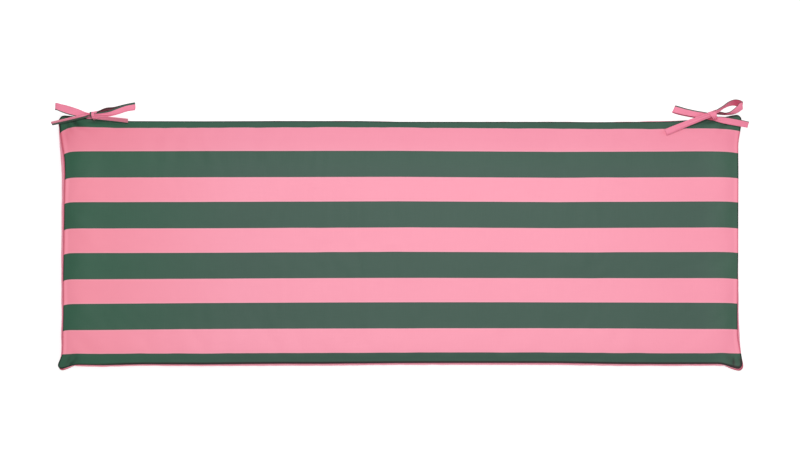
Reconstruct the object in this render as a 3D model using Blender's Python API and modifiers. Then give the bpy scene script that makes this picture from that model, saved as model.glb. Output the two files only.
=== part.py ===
"""Bench cushion: a long boxed pad in cloth, with a pair of cloth ties knotted in a bow near each back corner.

X runs along the length, +Y to the back, where the ties are, and +Z up. The origin is the middle of the underside.
"""

import math
from collections import namedtuple

import bmesh
import bpy
from mathutils import Matrix, Vector

MM = 0.001

# The pad, between the tips of its ears, and its thickness
LENGTH = 1.200
DEPTH = 0.450
SEAM_TOP = 0.043
SEAM_BOTTOM = 0.007
SHOULDER = 0.050
CROWN = 0.004

# How the cloth rounds over the filling, and how far a seam is tucked in behind its panel's edge
ROUNDING = 0.026
LIP = 0.0012
LIP_WIDTH = 0.009
EAR_TIP_RADIUS = 0.011
FILLING_CORNER_RADIUS = 0.018
CORNER_SLACK = 0.35
BULGE_SHARPNESS = 0.55

# Where each edge runs, as distances from the middle: first at the left or back end, then at the right or front end.
# The waist is how much further the middle of the edge is drawn in.
EDGES = {
    "left": dict(seam=(0.5885, 0.5915), bulge=(0.5968, 0.5962), waist=0.0005),
    "right": dict(seam=(0.5925, 0.5908), bulge=(0.5935, 0.5955), waist=0.0008),
    "back": dict(seam=(0.2140, 0.2135), bulge=(0.2150, 0.2175), waist=0.0010),
    "front": dict(seam=(0.2130, 0.2125), bulge=(0.2160, 0.2160), waist=0.0028),
}

# Each ear: how far it stands out past the end edge and past the long edge, over which lengths of them, and its droop
EARS = {
    ("left", "back"): dict(out_x=0.0105, out_y=0.0100, along_end=0.080, along_side=0.046, droop=0.003),
    ("right", "back"): dict(out_x=0.0070, out_y=0.0105, along_end=0.050, along_side=0.044, droop=0.002),
    ("left", "front"): dict(out_x=0.0085, out_y=0.0110, along_end=0.024, along_side=0.030, droop=0.002),
    ("right", "front"): dict(out_x=0.0085, out_y=0.0115, along_end=0.052, along_side=0.034, droop=0.001),
}
EAR_FADE = 0.016
EAR_BELOW = 0.003

# Creases of the top panel beside the front ears: place, half width, half length and depth
DENTS = (
    dict(x=-0.5745, y=-0.2080, wide=0.0055, long=0.010, deep=0.0034),
    dict(x=0.5850, y=-0.2070, wide=0.0045, long=0.012, deep=0.0032),
    dict(x=-0.5720, y=0.2080, wide=0.0080, long=0.010, deep=0.0026),
    dict(x=0.5700, y=0.2090, wide=0.0070, long=0.009, deep=0.0020),
)

# The ties: folded and stitched strips. Each bow has one tie drawn through the knot and one wrapped round it.
TIE_WIDTH = 0.012
TIE_THICK = 0.0020
TIE_EDGE = 0.0005
STEPS_PER_TURN = 3
WRAP_LONG = 0.009
WRAP_RADII = (0.0066, 0.0058)
WRAP_THICK = 0.0016
WRAP_SWELL = 1.10
WRAP_SIDES = 20
WAIST_LONG = 0.007
WAIST_SHARE = 0.66
WAIST_EDGE = 0.0012

# A place on a tie's way, in mm, the bearing and the rise in degrees of its width there, and the share of its full
# width that it keeps
Turn = namedtuple("Turn", "x y z bearing rise share")

# Left bow: the drawn tie makes the left loop and the left tail, the wrapped one the right loop and the right tail
LEFT_KNOT = (-538.5, 222.0, 50.0)
LEFT_KNOT_TURN = -8
LEFT_DRAWN = {
    "loop": (
        Turn(-536.5, 221.8, 47.9, 84, 0, 0.48),
        Turn(-545.0, 222.9, 47.8, 82, 0, 0.52),
        Turn(-554.0, 225.0, 47.2, 79, 0, 0.78),
        Turn(-568.0, 228.5, 46.4, 78, 5, 0.95),
        Turn(-588.0, 233.2, 45.4, 80, 5, 1.00),
        Turn(-600.2, 236.6, 45.6, 86, 0, 1.00),
        Turn(-603.4, 237.4, 48.0, 88, 0, 1.00),
        Turn(-600.4, 237.4, 50.6, 86, 0, 1.00),
        Turn(-586.0, 234.6, 51.8, 79, -4, 1.00),
        Turn(-567.0, 229.9, 52.0, 78, -4, 0.92),
        Turn(-554.0, 225.8, 51.2, 80, 0, 0.76),
        Turn(-545.0, 223.0, 50.3, 83, 0, 0.54),
        Turn(-536.5, 221.8, 50.0, 84, 0, 0.48),
    ),
    "tail": (
        Turn(-536.5, 221.7, 51.5, 84, 0, 0.42),
        Turn(-544.5, 222.1, 51.6, 84, 4, 0.44),
        Turn(-554.0, 220.2, 53.8, 81, 34, 0.76),
        Turn(-568.0, 216.9, 55.0, 79, 48, 0.94),
        Turn(-590.0, 211.8, 54.2, 77, 52, 1.00),
        Turn(-610.5, 207.4, 52.6, 77, 48, 1.00),
    ),
    "stem": (
        Turn(-548.0, 215.30, 43.8, 0, 0, 0.70),
        Turn(-548.0, 218.4, 44.4, 0, 0, 0.70),
        Turn(-548.0, 222.6, 46.8, 0, 0, 0.70),
    ),
}
LEFT_WRAPPED = {
    "loop": (
        Turn(-538.0, 228.2, 49.6, 90, 70, 0.50),
        Turn(-526.0, 230.2, 50.0, 100, 55, 0.72),
        Turn(-513.0, 233.4, 49.4, 104, 48, 0.90),
        Turn(-500.0, 235.6, 47.8, 100, 32, 1.00),
        Turn(-482.0, 236.8, 46.2, 94, 8, 1.00),
        Turn(-468.0, 237.3, 46.0, 91, 0, 1.04),
        Turn(-464.8, 237.5, 48.6, 90, 0, 1.04),
        Turn(-468.0, 237.2, 51.4, 92, 0, 1.04),
        Turn(-485.0, 231.6, 53.4, 104, 8, 0.96),
        Turn(-506.0, 224.6, 54.8, 107, 18, 0.80),
        Turn(-524.0, 222.4, 55.6, 96, 8, 0.66),
        Turn(-537.0, 222.0, 55.7, 90, 0, 0.55),
    ),
    "tail": (
        Turn(-538.0, 218.4, 54.3, 90, 35, 0.50),
        Turn(-523.0, 216.8, 54.6, 97, 42, 0.78),
        Turn(-500.0, 214.2, 54.6, 97, 52, 1.00),
        Turn(-475.4, 211.3, 54.4, 96, 50, 1.00),
    ),
    "stem": (
        Turn(-536.5, 214.45, 43.6, 0, 0, 0.75),
        Turn(-536.5, 217.4, 44.0, 0, 0, 0.75),
        Turn(-536.5, 221.0, 44.8, 0, 0, 0.70),
    ),
}

# Right bow: the drawn tie makes the left loop and the right tail, the wrapped one the right loop and the left tail
RIGHT_KNOT = (548.5, 221.6, 50.0)
RIGHT_KNOT_TURN = -10
RIGHT_DRAWN = {
    "loop": (
        Turn(548.5, 221.6, 47.9, 82, 0, 0.48),
        Turn(542.0, 222.6, 47.8, 83, 0, 0.52),
        Turn(531.0, 223.2, 47.2, 82, 0, 0.78),
        Turn(516.0, 224.6, 46.4, 78, 0, 0.95),
        Turn(496.0, 228.6, 45.6, 70, 0, 1.00),
        Turn(483.6, 231.8, 45.7, 64, 0, 1.08),
        Turn(480.2, 232.8, 48.2, 62, 0, 1.10),
        Turn(483.8, 232.4, 50.6, 64, 0, 1.08),
        Turn(500.0, 228.0, 51.7, 73, -4, 1.00),
        Turn(517.0, 224.6, 51.6, 79, 0, 0.94),
        Turn(531.0, 223.4, 50.9, 82, 0, 0.76),
        Turn(542.0, 222.6, 50.3, 83, 0, 0.54),
        Turn(548.5, 221.6, 50.0, 82, 0, 0.48),
    ),
    "tail": (
        Turn(547.5, 221.5, 51.3, 82, 0, 0.40),
        Turn(555.0, 220.1, 51.6, 86, 2, 0.46),
        Turn(563.0, 217.6, 52.5, 98, 12, 0.76),
        Turn(576.0, 214.3, 53.0, 100, 20, 0.94),
        Turn(592.0, 210.8, 52.8, 100, 22, 0.98),
        Turn(610.0, 206.6, 51.6, 98, 18, 1.00),
    ),
    "stem": (
        Turn(531.0, 214.10, 43.6, 0, 0, 0.90),
        Turn(531.0, 218.6, 44.4, 0, 0, 0.90),
        Turn(531.0, 223.0, 47.4, 0, 0, 0.85),
    ),
}
RIGHT_WRAPPED = {
    "loop": (
        Turn(547.0, 225.0, 55.0, 100, 20, 0.50),
        Turn(556.0, 231.0, 55.2, 118, 45, 0.66),
        Turn(568.0, 238.0, 54.0, 116, 52, 0.85),
        Turn(581.0, 243.2, 52.2, 112, 45, 1.00),
        Turn(591.0, 244.8, 50.6, 118, 40, 1.00),
        Turn(596.2, 241.8, 49.4, 140, 38, 1.00),
        Turn(593.6, 236.2, 48.8, 148, 36, 1.00),
        Turn(585.0, 229.6, 48.4, 140, 36, 0.95),
        Turn(573.0, 226.8, 48.4, 118, 40, 0.80),
        Turn(560.0, 227.6, 48.6, 95, 55, 0.66),
        Turn(549.5, 227.8, 48.8, 90, 70, 0.50),
    ),
    "tail": (
        Turn(549.0, 222.6, 55.6, 100, 0, 0.55),
        Turn(537.0, 219.6, 56.2, 108, 3, 0.80),
        Turn(518.0, 213.4, 56.2, 110, 5, 0.95),
        Turn(496.0, 205.2, 55.0, 111, 4, 0.98),
        Turn(478.0, 198.2, 53.8, 112, 2, 1.00),
        Turn(465.5, 193.2, 53.0, 132, 0, 1.12),
    ),
    "stem": (
        Turn(548.5, 214.65, 43.6, 0, 0, 0.75),
        Turn(548.5, 217.2, 44.0, 0, 0, 0.75),
        Turn(548.5, 220.8, 44.8, 0, 0, 0.70),
    ),
}

# Stations of the grid, as distances in from an edge of the panel, and rows of the boxing between its two seams
EDGE_STATIONS = (0.0016, 0.004, 0.008, 0.013, 0.019, 0.026, 0.035, 0.050, 0.075)
LONG_STEP = 0.075
DEEP_STEP = 0.050
BOXING_ROWS = (0.06, 0.18, 0.34, 0.5, 0.66, 0.82, 0.94)


def smooth(t):
    """A soft step from 0 to 1."""
    t = min(max(t, 0.0), 1.0)
    return t * t * (3 - 2 * t)


def edge(name, kind, share):
    """Distance of an edge's seam or bulge from the middle, at a share from 0 to 1 of the way along it."""
    near, far = EDGES[name][kind]
    waist = EDGES[name]["waist"] * (1 - (2 * share - 1) ** 2)
    return near + (far - near) * share - waist


def names_at(a, b):
    """The end edge and the long edge that a point of the panel is nearer to."""
    return ("left" if a < 0 else "right"), ("back" if b > 0 else "front")


def round_corner(x, y, half_x, half_y, radius):
    """Draws the square corner of a rectangle in to an arc, and the points near it with it."""
    s = (abs(x) - half_x + radius) / radius
    t = (abs(y) - half_y + radius) / radius
    if s <= 0 or t <= 0:
        return x, y
    in_x = radius * s * (1 - math.sqrt(1 - t * t / 2))
    in_y = radius * t * (1 - math.sqrt(1 - s * s / 2))
    return x - math.copysign(in_x, x), y - math.copysign(in_y, y)


def shares(a, b):
    """Shares of the way along the end edges, from the back, and along the long edges, from the left."""
    return 0.5 - b / DEPTH, 0.5 + a / LENGTH


def seam_plan(a, b, ear_growth=0.0):
    """Plan of a point of the top or the bottom panel, from its place on the flat panel."""
    end, side = names_at(a, b)
    down, along = shares(a, b)
    half_x, half_y = edge(end, "seam", down), edge(side, "seam", along)
    ear = EARS[end, side]
    in_x, in_y = LENGTH / 2 - abs(a), DEPTH / 2 - abs(b)
    ear_x = (ear["out_x"] + ear_growth) * smooth(1 - in_y / ear["along_end"]) * math.exp(-in_x / EAR_FADE)
    ear_y = (ear["out_y"] + ear_growth) * smooth(1 - in_x / ear["along_side"]) * math.exp(-in_y / EAR_FADE)
    x = a / (LENGTH / 2) * half_x + math.copysign(ear_x + lip(in_x), a)
    y = b / (DEPTH / 2) * half_y + math.copysign(ear_y + lip(in_y), b)
    tip_x = half_x + ear["out_x"] + ear_growth
    tip_y = half_y + ear["out_y"] + ear_growth
    return round_corner(x, y, tip_x, tip_y, EAR_TIP_RADIUS)


def lip(inside):
    """How far the panel stands out over its own seam, at a distance in from the seam."""
    if inside >= LIP_WIDTH:
        return 0.0
    return LIP * math.sin(math.pi * inside / LIP_WIDTH)


def filling_plan(a, b):
    """Plan of the boxing where it stands out furthest, half-way up."""
    end, side = names_at(a, b)
    down, along = shares(a, b)
    half_x, half_y = edge(end, "bulge", down), edge(side, "bulge", along)
    x = a / (LENGTH / 2) * half_x
    y = b / (DEPTH / 2) * half_y
    return round_corner(x, y, half_x, half_y, FILLING_CORNER_RADIUS)


def rounding(inside):
    """Rise of a panel from its seam, from 0 to 1, at a distance in from the seam."""
    t = 1 - min(max(inside / ROUNDING, 0.0), 1.0)
    return math.sqrt(1 - t * t)


def near_corner(a, b):
    """Nearness to the tip of an ear, from 0 where the ear begins to 1 at its tip."""
    ear = EARS[names_at(a, b)]
    near_end = smooth(1 - (LENGTH / 2 - abs(a)) / ear["along_side"])
    near_side = smooth(1 - (DEPTH / 2 - abs(b)) / ear["along_end"])
    return near_end * near_side


def dents(x, y):
    """Depth of the creases beside the ears."""
    depth = 0.0
    for dent in DENTS:
        across = (x - dent["x"]) / dent["wide"]
        down = (y - dent["y"]) / dent["long"]
        depth += dent["deep"] * math.exp(-across * across - down * down)
    return depth


def top_point(a, b):
    """A point of the top panel."""
    x, y = seam_plan(a, b)
    rise = rounding(LENGTH / 2 - abs(a)) * rounding(DEPTH / 2 - abs(b))
    crown = CROWN * (1 - (2 * a / LENGTH) ** 2) * (1 - (2 * b / DEPTH) ** 2)
    z = SEAM_TOP + (SHOULDER - SEAM_TOP) * rise + crown
    droop = EARS[names_at(a, b)]["droop"] * near_corner(a, b)
    return Vector((x, y, z - droop - dents(x, y) * rise))


def bottom_point(a, b):
    """A point of the bottom panel, which lies flat but for the turn up to its seam."""
    x, y = seam_plan(a, b, EAR_BELOW)
    rise = rounding(LENGTH / 2 - abs(a)) * rounding(DEPTH / 2 - abs(b))
    return Vector((x, y, SEAM_BOTTOM * (1 - rise)))


def boxing_point(a, b, w):
    """A point of the boxing, at a share w of the way up from the bottom seam to the top one."""
    low, high = bottom_point(a, b), top_point(a, b)
    x, y = filling_plan(a, b)
    out = (4 * w * (1 - w)) ** BULGE_SHARPNESS
    out *= 1 - CORNER_SLACK * near_corner(a, b)
    place = low.lerp(high, w)
    return Vector((place.x + (x - place.x) * out, place.y + (y - place.y) * out, place.z))


def stations(size, step):
    """Where the flat panel is cut into a grid, close together near its edges."""
    half = size / 2
    inner = half - EDGE_STATIONS[-1]
    count = max(2, round(2 * inner / step))
    middle = [-inner + 2 * inner * i / count for i in range(count + 1)]
    edges = [half - d for d in EDGE_STATIONS[:-1]]
    return sorted(middle + edges + [-e for e in edges])


def block(width, depth):
    """A block of a plan size, one unit high, as a new mesh under edit."""
    bm = bmesh.new()
    bmesh.ops.create_cube(bm, size=1)
    for vertex in bm.verts:
        vertex.co = Vector((vertex.co.x * width, vertex.co.y * depth, vertex.co.z + 0.5))
    return bm


def cut(bm, axis, places):
    """Cuts the whole of a block across one axis at each place."""
    normal = Vector((0, 0, 0))
    normal[axis] = 1
    for place in places:
        geometry = bm.verts[:] + bm.edges[:] + bm.faces[:]
        bmesh.ops.bisect_plane(bm, geom=geometry, plane_co=normal * place, plane_no=normal)


def make_cushion(material):
    """The filled pad: top panel, boxing and bottom panel, sewn at two seams, as one solid."""
    bm = block(LENGTH, DEPTH)
    cut(bm, 0, stations(LENGTH, LONG_STEP))
    cut(bm, 1, stations(DEPTH, DEEP_STEP))
    cut(bm, 2, BOXING_ROWS)
    for vertex in bm.verts:
        a, b, w = vertex.co
        if w > 1 - 1e-6:
            vertex.co = top_point(a, b)
        elif w < 1e-6:
            vertex.co = bottom_point(a, b)
        else:
            vertex.co = boxing_point(a, b, w)
    return add_object("cushion", bm, material, PARTS)


def add_object(name, bm, material, collection):
    """A mesh under edit, finished as an object."""
    mesh = bpy.data.meshes.new(name)
    bm.to_mesh(mesh)
    bm.free()
    mesh.materials.append(material)
    mesh.shade_smooth()
    mesh.set_sharp_from_angle(angle=math.radians(50))
    made = bpy.data.objects.new(name, mesh)
    collection.objects.link(made)
    return made


def between(values, step):
    """A smooth curve through a row of values, at a step counted in rows."""
    first = min(int(step), len(values) - 2)
    t = step - first
    before, start, end, after = (values[min(max(first + i, 0), len(values) - 1)] for i in (-1, 0, 1, 2))
    bend = 2 * start + (end - before) * t
    bend += (2 * before - 5 * start + 4 * end - after) * t * t
    return (bend + (3 * start - before - 3 * end + after) * t ** 3) / 2


def width_way(turn):
    """The way a tie's width points, with a length of its share of the full width."""
    bearing, rise = math.radians(turn.bearing), math.radians(turn.rise)
    level = math.cos(rise)
    return turn.share * Vector((level * math.cos(bearing), level * math.sin(bearing), math.sin(rise)))


def strip(turns):
    """One stretch of a tie, as a closed strip along its turns."""
    bm = block(TIE_WIDTH, TIE_THICK)
    upright = [e for e in bm.edges if abs(e.verts[0].co.z - e.verts[1].co.z) > 0.5]
    bmesh.ops.bevel(bm, geom=upright, offset=TIE_EDGE, segments=1, affect="EDGES")
    steps = (len(turns) - 1) * STEPS_PER_TURN
    cut(bm, 2, [i / steps for i in range(1, steps)])
    places = [Vector((turn.x, turn.y, turn.z)) * MM for turn in turns]
    ways = [width_way(turn) for turn in turns]
    for vertex in bm.verts:
        side, face, along = vertex.co
        step = along * (len(turns) - 1)
        ahead = between(places, min(step + 0.05, len(turns) - 1)) - between(places, max(step - 0.05, 0))
        ahead.normalize()
        way = between(ways, step)
        way -= ahead * way.dot(ahead)
        vertex.co = between(places, step) + way * side + ahead.cross(way.normalized()) * face
    return bm


def wrap_tube(radii, long, swell):
    """A short oval tube along X, swollen half-way."""
    bm = bmesh.new()
    bmesh.ops.create_cone(bm, cap_ends=False, segments=WRAP_SIDES, radius1=1, radius2=1, depth=long)
    bmesh.ops.rotate(bm, verts=bm.verts, matrix=Matrix.Rotation(math.pi / 2, 3, "Y"))
    cut(bm, 0, (-0.25 * long, 0, 0.25 * long))
    for vertex in bm.verts:
        grown = 1 + (swell - 1) * (1 - (2 * vertex.co.x / long) ** 2)
        vertex.co = Vector((vertex.co.x, vertex.co.y * radii[0] * grown, vertex.co.z * radii[1] * grown))
    return bm


def place_at_knot(made, knot, turn):
    made.location = Vector(knot) * MM
    made.rotation_euler = (0, 0, math.radians(turn))


def unite(body, pieces):
    """Joins the stretches of a tie into one solid."""
    for piece in pieces:
        piece.hide_render = True
        piece.display_type = "WIRE"
        joint = body.modifiers.new("join_" + piece.name, "BOOLEAN")
        joint.operation = "UNION"
        joint.solver = "EXACT"
        joint.object = piece


def stretches(name, tie, material):
    """The loop, the tail and the stem of a tie, each as a piece to be joined to its middle."""
    return [add_object(f"{name}_{part}", strip(turns), material, PIECES) for part, turns in tie.items()]


def make_drawn_tie(name, tie, knot, turn, material):
    """The tie that is drawn through the knot: its layers meet in a waist inside the wrap."""
    bm = block(WAIST_LONG, 1)
    wide, high = (WAIST_SHARE * 2 * (radius - WRAP_THICK) for radius in WRAP_RADII)
    for vertex in bm.verts:
        vertex.co = Vector((vertex.co.x, vertex.co.y * wide, (vertex.co.z - 0.5) * high))
    bmesh.ops.bevel(bm, geom=bm.edges[:], offset=WAIST_EDGE, segments=1, affect="EDGES")
    waist = add_object(name, bm, material, PARTS)
    place_at_knot(waist, knot, turn)
    unite(waist, stretches(name, tie, material))


def make_wrapped_tie(name, tie, knot, turn, material):
    """The tie that is wrapped round the other one: its layers start on the outside of the wrap."""
    wrap = add_object(name, wrap_tube(WRAP_RADII, WRAP_LONG, WRAP_SWELL), material, PARTS)
    place_at_knot(wrap, knot, turn)
    wall = wrap.modifiers.new("wall", "SOLIDIFY")
    wall.thickness = WRAP_THICK
    wall.offset = -1
    unite(wrap, stretches(name, tie, material))


def cloth(name, colour, roughness):
    """Plain cloth of one colour."""
    material = bpy.data.materials.new(name)
    material.use_nodes = True
    shader = material.node_tree.nodes["Principled BSDF"]
    shader.inputs["Base Color"].default_value = (*colour, 1.0)
    shader.inputs["Roughness"].default_value = roughness
    shader.inputs["Metallic"].default_value = 0.0
    return material


for startup in list(bpy.data.objects):
    bpy.data.objects.remove(startup)
PARTS = bpy.data.collections.new("bench_cushion")
bpy.context.scene.collection.children.link(PARTS)
PIECES = bpy.data.collections.new("tie_stretches")
bpy.context.scene.collection.children.link(PIECES)

striped_cloth = cloth("striped_cloth", (0.60, 0.36, 0.40), 0.85)
make_cushion(striped_cloth)
left_cloth = cloth("left_tie_cloth", (0.91, 0.36, 0.47), 0.85)
make_drawn_tie("tie_left_a", LEFT_DRAWN, LEFT_KNOT, LEFT_KNOT_TURN, left_cloth)
make_wrapped_tie("tie_left_b", LEFT_WRAPPED, LEFT_KNOT, LEFT_KNOT_TURN, left_cloth)
right_cloth = cloth("right_tie_cloth", (0.91, 0.36, 0.47), 0.85)
make_drawn_tie("tie_right_a", RIGHT_DRAWN, RIGHT_KNOT, RIGHT_KNOT_TURN, right_cloth)
make_wrapped_tie("tie_right_b", RIGHT_WRAPPED, RIGHT_KNOT, RIGHT_KNOT_TURN, right_cloth)
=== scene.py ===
"""Looks of a striped bench cushion with a bow of cloth ties at each back corner, seen from above.

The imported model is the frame. The cushion's cover and the four ties are modelled again here in fine
meshes, in metres, X to the right end, +Y to the back and +Z up, and they stand in for the plain solids.
"""
import math
from collections import namedtuple

import bpy
import numpy as np
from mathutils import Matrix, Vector


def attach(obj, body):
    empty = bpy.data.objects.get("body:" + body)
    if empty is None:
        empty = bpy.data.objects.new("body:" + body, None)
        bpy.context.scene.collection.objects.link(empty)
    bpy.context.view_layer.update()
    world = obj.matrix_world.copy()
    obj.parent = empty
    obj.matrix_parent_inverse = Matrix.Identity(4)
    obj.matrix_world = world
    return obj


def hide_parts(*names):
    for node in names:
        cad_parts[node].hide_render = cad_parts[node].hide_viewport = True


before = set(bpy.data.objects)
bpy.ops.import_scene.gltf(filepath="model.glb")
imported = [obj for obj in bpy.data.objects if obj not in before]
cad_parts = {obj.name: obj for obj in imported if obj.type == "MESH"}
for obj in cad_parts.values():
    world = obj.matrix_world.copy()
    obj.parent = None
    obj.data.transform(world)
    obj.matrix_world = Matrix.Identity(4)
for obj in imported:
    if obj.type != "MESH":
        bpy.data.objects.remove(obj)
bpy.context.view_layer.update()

# A millimetre, and a gap too small to count, in metres
MM = 0.001
SAME_PLACE = 1e-6

# Photograph: its frame, its scale on the cushion's face, and the row of pixels over the cushion's middle
IMAGE_WIDE, IMAGE_HIGH = 800, 469
METRES_PER_PIXEL = 0.00175
MIDDLE_ROW = 242.0

# Camera, nearly straight above and a little to the front
CAMERA_DISTANCE = 4.5
CAMERA_TILT = 2.0
FACE_HEIGHT = 0.047
SENSOR_WIDE = 36.0

# The pad, as the solid has it
LENGTH = 1.200
DEPTH = 0.450
SEAM_TOP = 0.043
SEAM_BOTTOM = 0.007
SHOULDER = 0.050
CROWN = 0.004
ROUNDING = 0.026
EAR_TIP_RADIUS = 0.011
EAR_FADE = 0.016
FILLING_CORNER_RADIUS = 0.018
CORNER_SLACK = 0.35
BULGE_SHARPNESS = 0.55

# Each edge's distance from the middle, at its left or back end and at its right or front end, and its waist
EDGES = {
    "left": dict(seam=(0.5885, 0.5915), bulge=(0.5968, 0.5962), waist=0.0005),
    "right": dict(seam=(0.5925, 0.5908), bulge=(0.5935, 0.5955), waist=0.0008),
    "back": dict(seam=(0.2140, 0.2135), bulge=(0.2150, 0.2175), waist=0.0010),
    "front": dict(seam=(0.2130, 0.2125), bulge=(0.2160, 0.2160), waist=0.0028),
}

# Each ear: how far it stands out, how far it reaches along the end and along the side, and how it droops
EARS = {
    ("left", "back"): dict(out_x=0.0105, out_y=0.0040, along_end=0.080, along_side=0.046, droop=0.003),
    ("right", "back"): dict(out_x=0.0070, out_y=0.0050, along_end=0.050, along_side=0.034, droop=0.002),
    ("left", "front"): dict(out_x=0.0085, out_y=0.0088, along_end=0.024, along_side=0.030, droop=0.002),
    ("right", "front"): dict(out_x=0.0085, out_y=0.0097, along_end=0.052, along_side=0.036, droop=0.001),
}

# How much further the bottom panel's ears stand out than the top panel's, towards the end and the side
LOWER_EARS = {
    ("left", "back"): dict(below_x=0.0055, below_y=0.0010),
    ("right", "back"): dict(below_x=0.0030, below_y=0.0010),
    ("left", "front"): dict(below_x=0.0028, below_y=0.0034),
    ("right", "front"): dict(below_x=0.0062, below_y=0.0040),
}

# The long slopes of the back edge up to its ears, and the length they run over
SLOPES = {
    ("left", "back"): dict(slope_y=0.0064, slope_run=0.125),
    ("right", "back"): dict(slope_y=0.0080, slope_run=0.145),
    ("left", "front"): dict(slope_y=0.0, slope_run=0.1),
    ("right", "front"): dict(slope_y=0.0, slope_run=0.1),
}
for corner in EARS:
    EARS[corner].update(**LOWER_EARS[corner], **SLOPES[corner])

# Places along each edge, and how far its seam and bulge lie outside its plain lines there, in mm
WANDERS = {
    "back": (
        (-600, -1.6, -2.2), (-350, -1.5, -2.6), (-210, -0.7, -1.8), (-70, -0.6, -1.8),
        (0, -1.9, -3.4), (280, -2.1, -4.0), (350, -2.8, -5.2), (420, -2.4, -4.2),
        (472, -2.1, -3.0), (600, -2.3, -2.6),
    ),
    "front": (
        (-600, 1.0, 1.0), (-525, 3.0, 3.2), (-455, 1.9, 2.0), (-350, 3.0, 3.4),
        (-210, 2.2, 3.2), (-140, 2.6, 3.4), (0, 1.5, 2.1), (140, 1.1, 1.9),
        (280, 0.9, 1.6), (385, 2.2, 2.6), (472, 1.9, 2.2), (600, 0.5, 0.5),
    ),
    "left": (
        (-225, 0.0, 0.0), (-189, -1.5, -2.1), (-171, -1.2, -0.9), (-136, -1.8, -1.9),
        (-58, -0.6, -0.8), (-5, -1.0, -0.7), (73, -1.2, -1.2), (126, -2.0, -1.0),
        (143, -1.4, -0.4), (161, -0.6, 1.2), (178, 0.0, 3.4), (205, 0.0, 3.6),
        (225, 0.0, 1.6),
    ),
    "right": (
        (-225, 0.1, 1.4), (-189, 0.5, 2.4), (-171, -0.4, 1.2), (-136, -0.4, -0.2),
        (-80, 0.3, 0.2), (-30, 1.2, -1.4), (126, 1.5, -1.4), (178, 0.9, -1.4),
        (225, 0.2, -0.6),
    ),
}
WANDER_FADE = 0.020

# The rolled edge of the cloth over its seam: how far it stands out, its width, and its lean to the seam
LIP = 0.0014
LIP_WIDTH = 0.007
LIP_LEAN = 0.7

# Creases of the top panel: place, bearing of their length in degrees, half length, half width, depth (mm),
# which also sets their painted shade
CREASES = (
    (-574.5, -213.0, 50, 6, 2.6, 4.2),
    (-579.0, -206.0, 62, 10, 3.0, 1.6),
    (-566.0, -205.0, 105, 13, 4.5, 1.5),
    (584.0, -211.5, 98, 8, 2.2, 4.6),
    (592.0, -208.0, 84, 9, 2.2, 1.8),
    (576.0, -204.0, 112, 15, 5.0, 1.4),
    (-571.0, 210.0, 138, 12, 3.2, 3.4),
    (-581.0, 203.0, 120, 14, 4.0, 2.0),
    (-560.0, 205.0, 150, 20, 6.0, 1.2),
    (577.0, 212.0, 48, 10, 3.0, 2.4),
    (566.0, 206.0, 60, 14, 6.0, 1.2),
    (-587.0, 188.0, 98, 15, 7.0, 1.5),
    (-536.0, 211.0, 178, 12, 2.4, 2.6),
    (-505.0, 208.5, 174, 16, 2.4, 1.8),
    (544.0, 211.5, 4, 14, 2.6, 3.2),
    (461.5, 191.5, 145, 5, 2.0, 1.3),
)

# Places along X, and how far the stripes run to the front there at the back, midway and at the front, and
# how much more at the back edge and at the front edge, in mm
DRIFTS = (
    (-570, 2.0, 1.7, 1.9, 5.0, -9.0),
    (-350, 0.8, 1.5, 0.8, 4.4, -4.3),
    (0, 0.5, -0.3, 0.6, 2.9, -4.3),
    (280, 2.3, 0.9, -0.3, 3.8, -2.9),
    (560, 1.4, -0.3, 0.2, 8.0, -3.9),
)
DRIFT_EDGE_FADE = 0.020
DRIFT_ROW = 0.19

# What the corners and the ends add to that in mm, and the length along X in mm that it fades over
CORNER_DRIFTS = {
    ("left", "back"): dict(corner=22.5, fade=8.5),
    ("right", "back"): dict(corner=15.0, fade=26.0),
    ("left", "front"): dict(corner=-10.5, fade=8.0),
    ("right", "front"): dict(corner=-10.0, fade=18.0),
}
CORNER_DRIFT_FADE_Y = 0.030
END_DRIFTS = {"left": (4.8, 4.2), "right": (2.0, 10.0)}

# The simulated cloth: its step, rows, hold on the middle, pressure, spare cloth, frames and stiffness
SIM_STEP = 0.010
SIM_BOXING_ROWS = np.array((0.25, 0.5, 0.75))
SIM_HOLD_MIDDLE = 0.30
SIM_HOLD_RUN = 0.090
SIM_PRESSURE = 4.0
SIM_SLACK = 0.02
SIM_FRAMES = 20
SIM_CLOTH = dict(
    quality=6, mass=0.15, tension_stiffness=12, compression_stiffness=12, shear_stiffness=5,
    bending_stiffness=0.15,
)

# What is kept of its moves: a share, without the slow swell wider than a length, and never more than a cap
SIM_KEPT = 0.35
SIM_SWELL = 0.045
SIM_CAP = 0.0020

# Stations of the fine mesh: distances in from an edge, then even steps; and shares of the boxing's height
EDGE_STATIONS = np.array((0.4, 0.9, 1.6, 2.5, 3.6, 5.0, 6.8, 9.0, 11.6, 14.6, 18.0, 22.0, 26.5, 31.5)) * MM
FINE_STEP = 0.0052
BOXING_ROWS = np.array(
    (0.012, 0.03, 0.06, 0.11, 0.18, 0.27, 0.38, 0.5, 0.62, 0.73, 0.82, 0.89, 0.94, 0.97, 0.988)
)
RUN_SAMPLES = 400


def smooth(t):
    """A soft step from 0 to 1."""
    t = np.clip(t, 0.0, 1.0)
    return t * t * (3 - 2 * t)


# The pad's form

def of_edges(a, b, take_end, take_side):
    """Values for the left or right end and for the back or front side that each point is nearer to."""
    end = np.where(a < 0, take_end("left"), take_end("right"))
    side = np.where(b > 0, take_side("back"), take_side("front"))
    return end, side


def edge_line(name, kind, share):
    """An edge's distance from the middle at a share of its length."""
    near, far = EDGES[name][kind]
    waist = EDGES[name]["waist"] * (1 - (2 * share - 1) ** 2)
    return near + (far - near) * share - waist


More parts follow.
